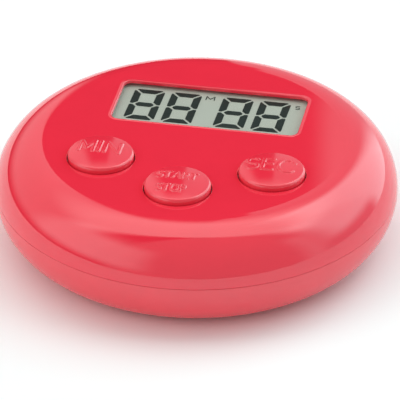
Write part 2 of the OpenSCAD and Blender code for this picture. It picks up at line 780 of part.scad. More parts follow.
// Coin cell, its wide can down and its smaller cap up
module coin_cell() {
  can_r = cell_d / 2;
  can_h = cell_t - cell_cap_h;
  cap_r = can_r - cell_shoulder_w;
  color("silver") translate([0, battery_y, cell_z]) rotate_extrude() polygon([
    [0, 0], [can_r - cell_edge, 0], [can_r, cell_edge], [can_r, can_h - cell_edge],
    [can_r - cell_edge, can_h], [cap_r, can_h], [cap_r - cell_edge, cell_t], [0, cell_t]
  ]);
}

// Leaf on the cell's cap that rises to the board
module negative_leaf() {
  z0 = cell_z + cell_t + stack_gap;
  color("#d8c48a") translate([0, battery_y, 0]) {
    block(-leaf_x, leaf_x + leaf_t, -leaf_w / 2, leaf_w / 2, z0, z0 + leaf_t);
    block(leaf_x, leaf_x + leaf_t, -leaf_w / 2, leaf_w / 2, z0, board_z);
  }
}

// Leaf beside the cell's can that rises to the board
module positive_leaf() {
  x1 = -cell_d / 2 - stack_gap;
  color("#d8c48a") translate([0, battery_y, 0])
    block(x1 - leaf_t, x1, -leaf_w / 2, leaf_w / 2, cell_z + stack_gap, board_z);
}

module magnets() {
  color("#8d9094") for (x = [-magnet_x, magnet_x]) translate([x, battery_y, 0])
    disc(magnet_d, base_recess, base_recess + magnet_t);
}

// Pan-head screw on the vertical axis, head down, with a cross slot
module screw(d, head, head_height, len, head_z) {
  slot_w = head / 6;
  slot_l = head * 0.6;
  slot_depth = head_height / 2;
  difference() {
    union() {
      disc(head, head_z, head_z + head_height);
      disc(d, head_z, head_z + head_height + len);
    }
    for (a = [0, 90]) rotate([0, 0, a])
      block(-slot_l / 2, slot_l / 2, -slot_w / 2, slot_w / 2, head_z - over, head_z + slot_depth);
  }
}

module case_screws() {
  color("silver") at_each(SCREWS) screw(screw_d - 2 * stack_gap, head_d, head_h, screw_len, head_depth);
}

module board_screws() {
  color("silver") at_each(BOARD_SCREWS)
    screw(board_screw_d - 2 * stack_gap, board_head_d, board_head_h, board_screw_len, board_z - board_head_h);
}

top_housing();
bottom_housing();
display_pane();
lcd_front_glass();
lcd_segments();
lcd_rear_glass();
lcd_reflector();
display_frame();
zebra_strip();
main_board();
chip_blob();
quartz_crystal();
small_parts();
buzzer_coil();
keypad_mat();
dome_min();
dome_start_stop();
dome_sec();
min_button();
start_stop_button();
sec_button();
piezo_disc();
piezo_ceramic();
buzzer_wires();
battery_cover();
coin_cell();
negative_leaf();
positive_leaf();
magnets();
case_screws();
board_screws();
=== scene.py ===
"""Looks of a round pebble-shaped countdown timer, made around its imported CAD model.

Metres, +Z up, in the CAD's own frame: origin at the centre of the base, +Y from the buttons to the display.
"""
import json
import math

import bmesh
import bpy
import numpy as np
from mathutils import Matrix, Vector


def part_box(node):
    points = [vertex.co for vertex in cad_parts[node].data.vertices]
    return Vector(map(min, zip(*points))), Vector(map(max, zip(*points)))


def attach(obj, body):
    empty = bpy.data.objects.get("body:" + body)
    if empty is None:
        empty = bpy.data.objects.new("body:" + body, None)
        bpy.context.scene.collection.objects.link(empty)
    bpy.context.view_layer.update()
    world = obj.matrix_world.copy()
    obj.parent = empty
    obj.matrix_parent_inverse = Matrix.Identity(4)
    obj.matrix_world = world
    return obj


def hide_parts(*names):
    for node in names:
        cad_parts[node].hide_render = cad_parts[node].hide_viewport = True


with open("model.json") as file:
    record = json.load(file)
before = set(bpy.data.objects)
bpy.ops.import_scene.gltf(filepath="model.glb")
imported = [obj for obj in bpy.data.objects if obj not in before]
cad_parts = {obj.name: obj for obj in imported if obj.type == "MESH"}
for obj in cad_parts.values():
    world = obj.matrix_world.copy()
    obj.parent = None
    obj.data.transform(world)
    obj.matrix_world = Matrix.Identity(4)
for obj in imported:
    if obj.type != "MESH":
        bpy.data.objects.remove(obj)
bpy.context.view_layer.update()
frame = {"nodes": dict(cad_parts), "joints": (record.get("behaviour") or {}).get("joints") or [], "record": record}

MM = 0.001
ROUND = 256                     # points round the housing
HOLE_ROUND = 96                 # points round a button, cover or magnet
SMALL_ROUND = 32                # points round a screw or sound hole
RIM_STEPS = 64                  # steps along the rim's section, outside
INNER_STEPS = 40                # and inside
EDGE_STEPS = 4                  # steps along a small rounding
LIP_STEPS = 6                   # steps up the lip round the window
WINDOW_STEPS = 7                # steps along the rounding of the window's edge
SHARP = math.radians(24)        # edges that bend more than this stay crisp


def middle(node):
    """Centre of a CAD node's box."""
    low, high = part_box(node)
    return (low + high) / 2


# ---------------------------------------------------------------- sizes that the CAD boxes give
FACE_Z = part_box("top_housing")[1].z
RIM_R = FACE_Z / 2              # radius of the rim's section
FACE_R = -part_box("bottom_housing")[0].x - RIM_R  # where the flat face ends and the rim begins

PANE_LOW, PANE_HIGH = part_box("display_pane")
PANE = middle("display_pane")
PANE_W = PANE_HIGH.x - PANE_LOW.x
PANE_L = PANE_HIGH.y - PANE_LOW.y

BUTTON_LOW, BUTTON_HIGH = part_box("min_button")
FLANGE_R = (BUTTON_HIGH.x - BUTTON_LOW.x) / 2
BUTTONS = {
    name: Vector((middle(name).x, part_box(name)[0].y + FLANGE_R, 0))
    for name in ("min_button", "start_stop_button", "sec_button")
}

COVER_LOW, COVER_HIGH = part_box("battery_cover")
COVER_R = (COVER_HIGH.x - COVER_LOW.x) / 2
BATTERY = Vector((middle("battery_cover").x, middle("coin_cell").y, 0))

MAGNET_LOW, MAGNET_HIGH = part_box("magnets")
MAGNET_R = (MAGNET_HIGH.y - MAGNET_LOW.y) / 2
MAGNETS = [Vector((side * (MAGNET_HIGH.x - MAGNET_R), middle("magnets").y, 0)) for side in (-1, 1)]

PIEZO = middle("piezo_disc")

# ---------------------------------------------------------------- sizes that lie inside a node's box
GAP = 0.2 * MM                  # round the buttons, keys, cover and screws
WALL = 2 * MM
CEILING_Z = FACE_Z - WALL
ROOT_Z = CEILING_Z + WALL / 4   # what hangs from the ceiling reaches up to here, into the wall
FLOOR_Z = WALL * 0.9            # and what stands on the floor starts here, inside it
FACE_BAND = 0.9 * MM            # width of the plain conical band round the face
PARTING_Z = 11.25 * MM
SEAM = 0.06 * MM                # width of the groove at the parting line
SEAM_DEPTH = 0.15 * MM
SEAM_EDGE = 0.03 * MM           # rounding of the two edges at the parting line
LIP_H = 1.5 * MM
LIP_T = 0.9 * MM
EDGE = 0.08 * MM                # rounding of the other moulded edges

WINDOW_MARGIN = 1.6 * MM
WINDOW_W = PANE_W - 2 * WINDOW_MARGIN
WINDOW_L = PANE_L - 2 * WINDOW_MARGIN
WINDOW_R = 1.6 * MM
WINDOW_EDGE = 0.3 * MM          # rounding of the window's edge
WINDOW_LIP_W = 0.4 * MM         # low lip round the window
WINDOW_LIP_H = 0.08 * MM
POCKET_GAP = 0.15 * MM

CAP_R = 6.5 * MM
HOLE_R = CAP_R + GAP
HOLE_EDGE = 0.15 * MM           # rounding of the button holes
CAP_EDGE_R = 0.65 * MM
CROWN_R = 36 * MM
LETTER_H = 0.20 * MM
LETTER_SLOPE = 0.12 * MM        # half the width of the slope at a letter's sides
CROWN_CELLS = 144               # cells across the crown that carries the letters
CROWN_Z = BUTTON_HIGH.z - LETTER_H  # top of the crown under the letters
PLUNGER_R = 2.5 * MM
FLANGE_TOP_Z = CEILING_Z - 0.1 * MM
FLANGE_LOW_Z = FLANGE_TOP_Z - 0.8 * MM
KEY_W = 1.6 * MM
KEY_REACH = 1.2 * MM
GUIDE_T = 0.9 * MM
TRAVEL = frame["joints"][0]["range_m"][1]

SCREW_HEAD_R = 2.3 * MM
SCREW_HEAD_H = 1.6 * MM
SCREW_HEAD_EDGE = 0.35 * MM
CROSS_ARM = 1.45 * MM           # how far each arm of the cross recess reaches
CROSS_HALF = 0.36 * MM          # half an arm's width
CROSS_TAPER = 0.6               # the recess's bottom as a share of its mouth
CROSS_DEPTH = SCREW_HEAD_H / 2
COUNTERBORE_R = SCREW_HEAD_R + GAP
SCREW_LOW, SCREW_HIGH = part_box("case_screws")
SCREW_Y = SCREW_LOW.y + SCREW_HEAD_R
SCREWS = [
    Vector((0, SCREW_HIGH.y - SCREW_HEAD_R, 0)),
    Vector((SCREW_LOW.x + SCREW_HEAD_R, SCREW_Y, 0)),
    Vector((SCREW_HIGH.x - SCREW_HEAD_R, SCREW_Y, 0)),
]
SCREW_R = 1.25 * MM
BOSS_R = 2.8 * MM
PILLAR_H = 8 * MM
BOSS_LOW_Z = PILLAR_H + 0.05 * MM

COVER_HOLE_R = COVER_R + GAP
COVER_TOP_Z = COVER_LOW.z + 1.5 * MM
COVER_EDGE = 0.2 * MM
NECK_R = 11.6 * MM
NECK_T = 2.6 * MM
LUG_REACH = 1.5 * MM
LUG_H = 1 * MM
LUG_STEPS = 12
LUG_HALF_ANGLE = math.radians(16)
LUG_ANGLES = [math.radians(a) for a in (30, 150, 270)]
COIN_SLOT = (15 * MM, 2 * MM, 0.8 * MM)

# Heights and radii of the battery chamber, from the cover upwards
RECESS_H = 1.65 * MM
RING_TOP_Z = 3.25 * MM
LUG_ROOM_R = NECK_R + LUG_REACH + GAP
LUG_ROOM_TOP_Z = 4.4 * MM
CELL_ROOM_R = 10.15 * MM
CELL_ROOM_TOP_Z = 8.05 * MM

# Round walls inside the bottom housing: outer radius, inner radius, top
LUG_WALL = (NECK_R + 2.9 * MM, NECK_R + 1.8 * MM, 5.6 * MM)
CELL_WALL = (11.65 * MM, 10.25 * MM, 9.25 * MM)
BUZZER_SEAT = (8.85 * MM, 7.65 * MM, 3.5 * MM)
MAGNET_CUP_R = MAGNET_R + POCKET_GAP + 1.2 * MM
MAGNET_CUP_H = 3.35 * MM
MAGNET_EDGE = 0.15 * MM

SOUND_HOLE_R = 0.65 * MM
SOUND_HOLE_H = WALL * 0.99
SOUND_RING_R = 3.2 * MM
SOUND_RING_COUNT = 6


# ---------------------------------------------------------------- meshes from loops, strips and caps
def polar(centre, radius, angle):
    """The (x, y) point at a distance and an angle from a centre."""
    return centre[0] + radius * math.cos(angle), centre[1] + radius * math.sin(angle)


def circle(centre, radius, z, count):
    """Points of a horizontal circle."""
    turn = 2 * math.pi / count
    return [(*polar(centre, radius, i * turn), z) for i in range(count)]


def round_rect(centre, width, length, radius, z, steps=10):
    """Points of a horizontal rectangle with round corners."""
    points = []
    for quarter, (sx, sy) in enumerate(((1, 1), (-1, 1), (-1, -1), (1, -1))):
        corner = centre[0] + sx * (width / 2 - radius), centre[1] + sy * (length / 2 - radius)
        points += [(*polar(corner, radius, (quarter + i / steps) * math.pi / 2), z) for i in range(steps + 1)]
    return points


def arc(cx, cz, radius, start, end, steps):
    """(radius, height) points of an arc in a lathe profile; angles in degrees from straight up, outwards."""
    angles = [math.radians(start + (end - start) * i / steps) for i in range(steps + 1)]
    return [(cx + radius * math.sin(a), cz + radius * math.cos(a)) for a in angles]


class Skin:
    """A mesh put together from loops of points, strips between loops, and flat caps with holes."""

    def __init__(self):
        self.bm = bmesh.new()
        self.crisp = []

    def loop(self, points):
        return [self.bm.verts.new(p) for p in points]

    def edges(self, loop):
        pairs = zip(loop, loop[1:] + loop[:1])
        return [self.bm.edges.get(pair) or self.bm.edges.new(pair) for pair in pairs]

    def strip(self, a, b):
        for i in range(len(a)):
            j = (i + 1) % len(a)
            self.bm.faces.new((a[i], a[j], b[j], b[i]))

    def run(self, *loops):
        """Strips from each loop to the next; gives the last loop back."""
        for a, b in zip(loops, loops[1:]):
            self.strip(a, b)
        return loops[-1]

    def lathe(self, centre, profile, count):
        """Loops of a (radius, height) profile turned about a vertical axis, with strips between them."""
        loops = [self.loop(circle(centre, r, z, count)) for r, z in profile]
        self.run(*loops)
        return loops

    def cap(self, *loops):
        """Flat faces inside the first loop and outside the others, with crisp borders."""
        border = [edge for loop in loops for edge in self.edges(loop)]
        bmesh.ops.triangle_fill(self.bm, use_beauty=True, edges=border)
        self.crisp += border

    def crease(self, loop):
        self.crisp += self.edges(loop)

    def tube(self, centre, outer, inner, low, high, count=SMALL_ROUND):
        """A closed upright tube, or a closed post where inner is 0."""
        a, b = self.lathe(centre, [(outer, low), (outer, high)], count)
        if inner:
            c, d = self.lathe(centre, [(inner, low), (inner, high)], count)
            self.cap(a, c)
            self.cap(b, d)
        else:
            self.cap(a)
            self.cap(b)

    def prism(self, outline, low, high):
        """A closed upright prism over a list of (x, y) points."""
        a = self.loop([(x, y, low) for x, y in outline])
        b = self.loop([(x, y, high) for x, y in outline])
        self.strip(a, b)
        self.cap(a)
        self.cap(b)

    def box(self, low, high):
        corners = [(low[0], low[1]), (high[0], low[1]), (high[0], high[1]), (low[0], high[1])]
        self.prism(corners, low[2], high[2])

    def finish(self, name, body, slot, *nodes):
        """The mesh as a piece that rides on a body and stands for the named CAD nodes."""
        bmesh.ops.recalc_face_normals(self.bm, faces=self.bm.faces)
        for face in self.bm.faces:
            face.smooth = True
        for edge in self.bm.edges:
            if len(edge.link_faces) == 2 and edge.calc_face_angle() > SHARP:
                edge.smooth = False
        for edge in self.crisp:
            if edge.is_valid:
                edge.smooth = False
        mesh = bpy.data.meshes.new(name)
        self.bm.to_mesh(mesh)
        self.bm.free()
        return add_piece(name, mesh, body, slot, *nodes)


def add_piece(name, mesh, body, slot, *nodes):
    """The mesh as an object with its finish, riding on its body."""
    piece = bpy.data.objects.new(name, mesh)
    bpy.context.scene.collection.objects.link(piece)
    mesh.materials.append(finish_of(slot))
    weighted = piece.modifiers.new("Weighted normals", "WEIGHTED_NORMAL")
    weighted.keep_sharp = True
    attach(piece, body)
    if nodes:
        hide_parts(*nodes)
    return piece


# ---------------------------------------------------------------- finishes
COAT_IOR = 1.72
PANE_IOR = 1.49
UNEVEN = 0.15                   # how much the roughness of a surface varies
RED = (0.88, 0.031, 0.060)
# Painted light: the lower housing and the battery cover take a paler pink than RED, standing for the light from
# below on the lower rim
BASE_RED_PAINTED_LIGHTER = (0.87, 0.050, 0.076)


def new_material(name):
    """An empty material, its node tree, its output and the place on the object."""
    material = bpy.data.materials.new(name)
    material.use_nodes = True
    tree = material.node_tree
    tree.nodes.clear()
    output = tree.nodes.new("ShaderNodeOutputMaterial")
    place = tree.nodes.new("ShaderNodeTexCoord").outputs["Object"]
    return material, tree, output, place


def feed(tree, socket, value):
    """Link an output to a socket, or set the socket to a plain value."""
    if isinstance(value, bpy.types.NodeSocket):
        tree.links.new(value, socket)
    else:
        socket.default_value = value


def add_node(tree, kind, **inputs):
    """A shader node with some of its inputs set or linked."""
    node = tree.nodes.new(kind)
    for name, value in inputs.items():
        feed(tree, node.inputs[name.replace("_", " ")], value)
    return node


def maths(tree, operation, a, b=0.0):
    """The result of a Math node on numbers or outputs."""
    node = tree.nodes.new("ShaderNodeMath")
    node.operation = operation
    feed(tree, node.inputs[0], a)
    feed(tree, node.inputs[1], b)
    return node.outputs[0]


def scaled(tree, value, low, high):
    """A 0 to 1 value carried over to low to high."""
    node = add_node(tree, "ShaderNodeMapRange", Value=value, To_Min=low, To_Max=high)
    return node.outputs["Result"]


def noise(tree, place, size, stretch=(1, 1, 1)):
    """Noise whose patches are about size metres across, drawn out by stretch."""
    squeezed = add_node(tree, "ShaderNodeMapping", Vector=place, Scale=[1 / (size * s) for s in stretch])
    patches = add_node(tree, "ShaderNodeTexNoise", Vector=squeezed.outputs[0], Scale=1.0, Detail=3.0)
    return patches.outputs["Fac"]


def blend(tree, share, first, second, start=0.0, end=1.0):
    """The first colour up to share start, the second one from share end, and in between a blend."""
    ramp = add_node(tree, "ShaderNodeValToRGB", Fac=share)
    for stop, place, colour in zip(ramp.color_ramp.elements, (start, end), (first, second)):
        stop.position = place
        stop.color = (*colour, 1)
    return ramp.outputs["Color"]


def varied(tree, share, colour, spread):
    """A colour that goes from darker to lighter by spread as share goes from 0 to 1."""
    darker, lighter = ([min(c * factor, 1) for c in colour] for factor in (1 - spread, 1 + spread))
    return blend(tree, share, darker, lighter, 0.3, 0.7)


def moulded(name, colour, roughness, coat=0.0, coat_roughness=0.03, gloss=0.5, spread=0.03, texture=0.3 * MM,
            depth=0.002 * MM, metallic=0.0, stretch=(1, 1, 1), cloud=6 * MM):
    """Plastic, rubber or metal: clouded colour, uneven roughness and a fine surface texture.

    gloss is the soft shine of the surface itself, coat a clear mirror on top of it."""
    material, tree, output, place = new_material(name)
    clouds = noise(tree, place, cloud)
    grain = noise(tree, place, texture, stretch)
    bump = add_node(tree, "ShaderNodeBump", Height=grain, Distance=depth)
    shader = add_node(
        tree, "ShaderNodeBsdfPrincipled",
        Base_Color=varied(tree, clouds, colour, spread),
        Roughness=scaled(tree, grain, roughness * (1 - UNEVEN), roughness * (1 + UNEVEN)),
        Metallic=metallic, Normal=bump.outputs["Normal"], Specular_IOR_Level=gloss,
        Coat_Weight=coat, Coat_Roughness=coat_roughness, Coat_IOR=COAT_IOR,
    )
    tree.links.new(shader.outputs[0], output.inputs["Surface"])
    return material


def clear_pane(name):
    """A thin clear sheet: light passes straight through, and the sky shows in it at a low angle."""
    material, tree, output, place = new_material(name)
    smear = scaled(tree, noise(tree, place, 4 * MM), 0.02, 0.06)
    through = add_node(tree, "ShaderNodeBsdfTransparent", Color=(0.93, 0.95, 0.94, 1))
    gloss = add_node(tree, "ShaderNodeBsdfGlossy", Color=(1, 1, 1, 1), Roughness=smear)
    edge = add_node(tree, "ShaderNodeFresnel", IOR=PANE_IOR).outputs[0]
    inside = tree.nodes.new("ShaderNodeNewGeometry").outputs["Backfacing"]
    both = tree.nodes.new("ShaderNodeMixShader")
    tree.links.new(maths(tree, "MULTIPLY", edge, maths(tree, "SUBTRACT", 1.0, inside)), both.inputs[0])
    tree.links.new(through.outputs[0], both.inputs[1])
    tree.links.new(gloss.outputs[0], both.inputs[2])
    tree.links.new(both.outputs[0], output.inputs["Surface"])
    return material


def banded(name, colour, other, width, axis, roughness, metallic=0.0):
    """Bands across one axis, such as the layers of the contact strip or the turns of a coil."""
    material, tree, output, place = new_material(name)
    # A wave texture has 20 / (2 pi) bands in a metre at scale 1
    wave = add_node(tree, "ShaderNodeTexWave", Vector=place, Scale=math.pi / (10 * width))
    wave.bands_direction = axis
    share = wave.outputs["Fac"]
    bump = add_node(tree, "ShaderNodeBump", Height=share, Distance=width / 4)
    shader = add_node(
        tree, "ShaderNodeBsdfPrincipled",
        Base_Color=blend(tree, share, colour, other),
        Roughness=scaled(tree, share, roughness, roughness * 1.4),
        Metallic=metallic, Normal=bump.outputs["Normal"],
    )
    tree.links.new(shader.outputs[0], output.inputs["Surface"])
    return material


FINISHES = {
    "red_shell": lambda n: moulded(n, RED, 0.30, coat=1.0, coat_roughness=0.03, gloss=0.0, spread=0.015),
    # The lower housing's red carries painted light, a paler pink for the light from below
    "red_base": lambda n: moulded(n, BASE_RED_PAINTED_LIGHTER, 0.32, coat=1.0, coat_roughness=0.05, gloss=0.0, spread=0.02),
    "red_buttons": lambda n: moulded(n, RED, 0.34, coat=1.0, coat_roughness=0.10, gloss=0.0, spread=0.02),
    "clear_pane": clear_pane,
    "lcd_glass": lambda n: moulded(n, (0.65, 0.62, 0.56), 0.35, spread=0.02, texture=0.1 * MM),
    "lcd_ink": lambda n: moulded(n, (0.012, 0.016, 0.013), 0.45, spread=0.25, texture=0.15 * MM,
                                 cloud=0.6 * MM),
    "reflector_film": lambda n: moulded(n, (0.75, 0.76, 0.75), 0.42, metallic=1.0, stretch=(20, 1, 1)),
    "ivory_plastic": lambda n: moulded(n, (0.83, 0.80, 0.70), 0.45, depth=0.01 * MM),
    "zebra_rubber": lambda n: banded(n, (0.80, 0.45, 0.45), (0.10, 0.08, 0.08), 0.1 * MM, "X", 0.6),
    "circuit_board": lambda n: moulded(n, (0.02, 0.16, 0.06), 0.35, spread=0.35, cloud=1.5 * MM, coat=0.4),
    "black_resin": lambda n: moulded(n, (0.012, 0.012, 0.013), 0.22, spread=0.3, texture=1 * MM,
                                     depth=0.02 * MM),
    "bright_metal": lambda n: moulded(n, (0.74, 0.74, 0.72), 0.22, metallic=1.0, spread=0.06),
    "chip_parts": lambda n: moulded(n, (0.06, 0.045, 0.035), 0.5, spread=0.5, cloud=0.8 * MM),
    "coil_wire": lambda n: banded(n, (0.62, 0.26, 0.10), (0.30, 0.10, 0.04), 0.12 * MM, "Z", 0.3,
                                  metallic=1.0),
    "keypad_silicone": lambda n: moulded(n, (0.34, 0.36, 0.38), 0.62, depth=0.01 * MM),
    "piezo_brass": lambda n: moulded(n, (0.74, 0.53, 0.22), 0.3, metallic=1.0, spread=0.08,
                                     stretch=(15, 1, 1)),
    "piezo_white": lambda n: moulded(n, (0.80, 0.80, 0.76), 0.5, spread=0.05),
    "wire_jacket": lambda n: moulded(n, (0.52, 0.02, 0.02), 0.42, spread=0.1),
    "spring_brass": lambda n: moulded(n, (0.70, 0.60, 0.36), 0.3, metallic=1.0, spread=0.06,
                                      stretch=(1, 1, 20)),
    "magnet_nickel": lambda n: moulded(n, (0.60, 0.60, 0.59), 0.28, metallic=1.0, spread=0.05,
                                       texture=0.2 * MM),
    "screw_steel": lambda n: moulded(n, (0.62, 0.61, 0.58), 0.34, metallic=1.0, spread=0.1,
                                     texture=0.15 * MM),
}
MADE = {}


def finish_of(slot):
    """The material of a slot, made when it is first asked for."""
    if slot not in MADE:
        MADE[slot] = FINISHES[slot](slot + "_finish")
    return MADE[slot]


def dress_cad_nodes():
    """Every CAD node gets the procedural material of its slot."""
    for part in frame["record"]["subparts"]:
        mesh = frame["nodes"][part["node"]].data
        mesh.materials.clear()
        mesh.materials.append(finish_of(part["material_slot"]))


# ---------------------------------------------------------------- housings
def rim_angle(z):
    """Angle round the rim's section, in degrees from straight up, at a height."""
    return math.degrees(math.acos((z - RIM_R) / RIM_R))


def outer_r(z):
    """Radius of the housing's outer wall at a height."""
    return FACE_R + math.sqrt(RIM_R ** 2 - (z - RIM_R) ** 2)


def inner_r(z):
    """Radius of the housing's inner wall at a height."""
    return FACE_R + math.sqrt((RIM_R - WALL) ** 2 - (z - RIM_R) ** 2)


def inner_angle(z):
    """Angle round the inner wall's section, in degrees from straight up, at a height."""
    return math.degrees(math.acos((z - RIM_R) / (RIM_R - WALL)))


def rounded_hole(skin, centre, radius, z, depth, edge, count, inwards):
    """Loops of a hole that opens in a flat face at z, with a rounded mouth; inwards is 1 up or -1 down."""
    profile = [
        (radius + edge * (1 - math.sin(a)), z + inwards * edge * (1 - math.cos(a)))
        for a in [math.pi / 2 * i / EDGE_STEPS for i in range(EDGE_STEPS + 1)]
    ]
    return skin.lathe(centre, profile + [(radius, z + inwards * depth)], count)


def blind_hole(skin, centre, radius, depth, count):
    """A closed hole in the underside; gives its mouth back."""
    hole = rounded_hole(skin, centre, radius, 0, depth, EDGE, count, 1)
    skin.cap(hole[-1])
    return hole[0]


def window_and_pocket(skin):
    """Low lip, rounded edge, wall, then the pocket for the pane and the LCD; gives both ends back."""
    lip = [
        (WINDOW_EDGE + WINDOW_LIP_W * (1 - i / LIP_STEPS),
         FACE_Z + WINDOW_LIP_H * (1 - math.cos(math.pi * i / LIP_STEPS)) / 2)
        for i in range(LIP_STEPS)
    ]
    edge = arc(WINDOW_EDGE, FACE_Z + WINDOW_LIP_H - WINDOW_EDGE, WINDOW_EDGE, 0, -90, WINDOW_STEPS)
    opening = [
        skin.loop(round_rect(PANE, WINDOW_W + 2 * out, WINDOW_L + 2 * out, WINDOW_R + out, z))
        for out, z in lip + edge
    ]
    sill = skin.loop(round_rect(PANE, WINDOW_W, WINDOW_L, WINDOW_R, PANE_HIGH.z))
    skin.run(*opening, sill)
    pocket = [
        skin.loop(round_rect(PANE, PANE_W + 2 * POCKET_GAP, PANE_L + 2 * POCKET_GAP, EDGE, z))
        for z in (PANE_HIGH.z, CEILING_Z)
    ]
    skin.cap(pocket[0], sill)
    skin.run(*pocket)
    return opening[0], pocket[1]


def bosses_and_guides(skin):
    """Screw bosses, and the guides beside each button's key, set into the ceiling."""
    for centre in SCREWS:
        skin.tube(centre, BOSS_R, SCREW_R, BOSS_LOW_Z, ROOT_Z)
    for centre in BUTTONS.values():
        for side in (-1, 1):
            x = centre.x + side * (KEY_W / 2 + GAP + GUIDE_T / 2)
            y = centre.y + FLANGE_R
            skin.box((x - GUIDE_T / 2, y + GAP, FLANGE_LOW_Z - TRAVEL),
                     (x + GUIDE_T / 2, y + KEY_REACH, ROOT_Z))


def make_top_housing():
    """Face, conical band and rim down to the parting line, with the window and the button holes."""
    skin = Skin()
    band_angle = math.degrees(math.asin(FACE_BAND / RIM_R))
    edge_z = PARTING_Z + SEAM + SEAM_EDGE
    groove_r = outer_r(PARTING_Z) - SEAM_DEPTH
    outer = [(FACE_R, FACE_Z)] + arc(FACE_R, RIM_R, RIM_R, band_angle, rim_angle(edge_z), RIM_STEPS)
    outer += arc(outer_r(edge_z) - SEAM_EDGE, edge_z, SEAM_EDGE, 90, 180, EDGE_STEPS)[1:]
    outer += [(groove_r, PARTING_Z + SEAM), (groove_r, PARTING_Z), (inner_r(PARTING_Z), PARTING_Z)]
    inner = arc(FACE_R, RIM_R, RIM_R - WALL, inner_angle(PARTING_Z), 0, INNER_STEPS)
    loops = skin.lathe((0, 0), outer + inner[1:], ROUND)
    skin.crease(loops[1])
    window, pocket = window_and_pocket(skin)
    mouths, ends = [], []
    for centre in BUTTONS.values():
        hole = rounded_hole(skin, centre, HOLE_R, FACE_Z, WALL, HOLE_EDGE, HOLE_ROUND, -1)
        mouths.append(hole[0])
        ends.append(hole[-1])
    skin.cap(loops[0], window, *mouths)
    skin.cap(loops[-1], pocket, *ends)
    bosses_and_guides(skin)
    return skin.finish("top_housing_shell", "housing", "red_shell", "top_housing")


def battery_opening(skin):
    """Recess of the battery cover, the bayonet ring and the battery chamber; gives the mouth back."""
    recess = rounded_hole(skin, BATTERY, COVER_HOLE_R, 0, RECESS_H, EDGE, ROUND, 1)
    chamber = skin.lathe(BATTERY, [
        (NECK_R + GAP, RECESS_H), (NECK_R + GAP, RING_TOP_Z), (LUG_ROOM_R, RING_TOP_Z),
        (LUG_ROOM_R, LUG_ROOM_TOP_Z), (CELL_ROOM_R, LUG_ROOM_TOP_Z), (CELL_ROOM_R, CELL_ROOM_TOP_Z),
    ], HOLE_ROUND)
    skin.cap(recess[-1], chamber[0])
    skin.cap(chamber[-1])
    return recess[0]


def walls_on_floor(skin):
    """Walls of the battery chamber, magnet cups, screw pillars and buzzer seat, set into the floor."""
    def round_wall(centre, outer, inner, top):
        skin.tube(centre, outer, inner, FLOOR_Z, top, HOLE_ROUND)

    round_wall(BATTERY, *LUG_WALL)
    round_wall(BATTERY, *CELL_WALL)
    for centre in MAGNETS:
        round_wall(centre, MAGNET_CUP_R, 0, MAGNET_CUP_H)
    for centre in SCREWS:
        skin.tube(centre, BOSS_R, SCREW_R + GAP, FLOOR_Z, PILLAR_H)
    round_wall(PIEZO, *BUZZER_SEAT)


def make_bottom_housing():
    """Rim below the parting line and the base, with the lip inside and the holes in the underside."""
    skin = Skin()
    lip_z = PARTING_Z + LIP_H
    lip_r = inner_r(lip_z) - POCKET_GAP
    edge_z = PARTING_Z - SEAM_EDGE
    lip = [(lip_r - LIP_T, lip_z), (lip_r, lip_z), (lip_r, PARTING_Z), (inner_r(PARTING_Z), PARTING_Z)]
    outer = arc(outer_r(edge_z) - SEAM_EDGE, edge_z, SEAM_EDGE, 0, 90, EDGE_STEPS)
    outer += arc(FACE_R, RIM_R, RIM_R, rim_angle(edge_z), 180, RIM_STEPS)[1:]
    inner = arc(FACE_R, RIM_R, RIM_R - WALL, 180, 100, INNER_STEPS)
    loops = skin.lathe((0, 0), inner + lip + outer, ROUND)

    mouths = [battery_opening(skin)]
    for centre in MAGNETS:
        mouths.append(blind_hole(skin, centre, MAGNET_R + POCKET_GAP, MAGNET_HIGH.z, HOLE_ROUND))
    for centre in SCREWS:
        mouths.append(blind_hole(skin, centre, COUNTERBORE_R, SCREW_LOW.z + SCREW_HEAD_H, SMALL_ROUND))
    sound_ring = circle(PIEZO, SOUND_RING_R, 0, SOUND_RING_COUNT)
    for centre in [PIEZO, *sound_ring]:
        mouths.append(blind_hole(skin, centre, SOUND_HOLE_R, SOUND_HOLE_H, SMALL_ROUND))
    skin.cap(loops[-1], *mouths)
    skin.cap(loops[0])
    walls_on_floor(skin)
    return skin.finish("bottom_housing_shell", "housing", "red_base", "bottom_housing")


# ---------------------------------------------------------------- buttons with raised letters
def segment_distance(points, a, b):
    """Distance from each (x, y) point to the line from a to b."""
    a, b = np.array(a), np.array(b)
    along = b - a
    share = np.clip(((points - a) @ along) / (along @ along), 0, 1)
    return np.linalg.norm(points - a - share[:, None] * along, axis=1)


def curve(cx, cy, rx, ry, start, end, steps=14):
    """Points of an ellipse's arc, angles in degrees from +X."""
    angles = [math.radians(start + (end - start) * i / steps) for i in range(steps + 1)]
    return [(cx + rx * math.cos(a), cy + ry * math.sin(a)) for a in angles]


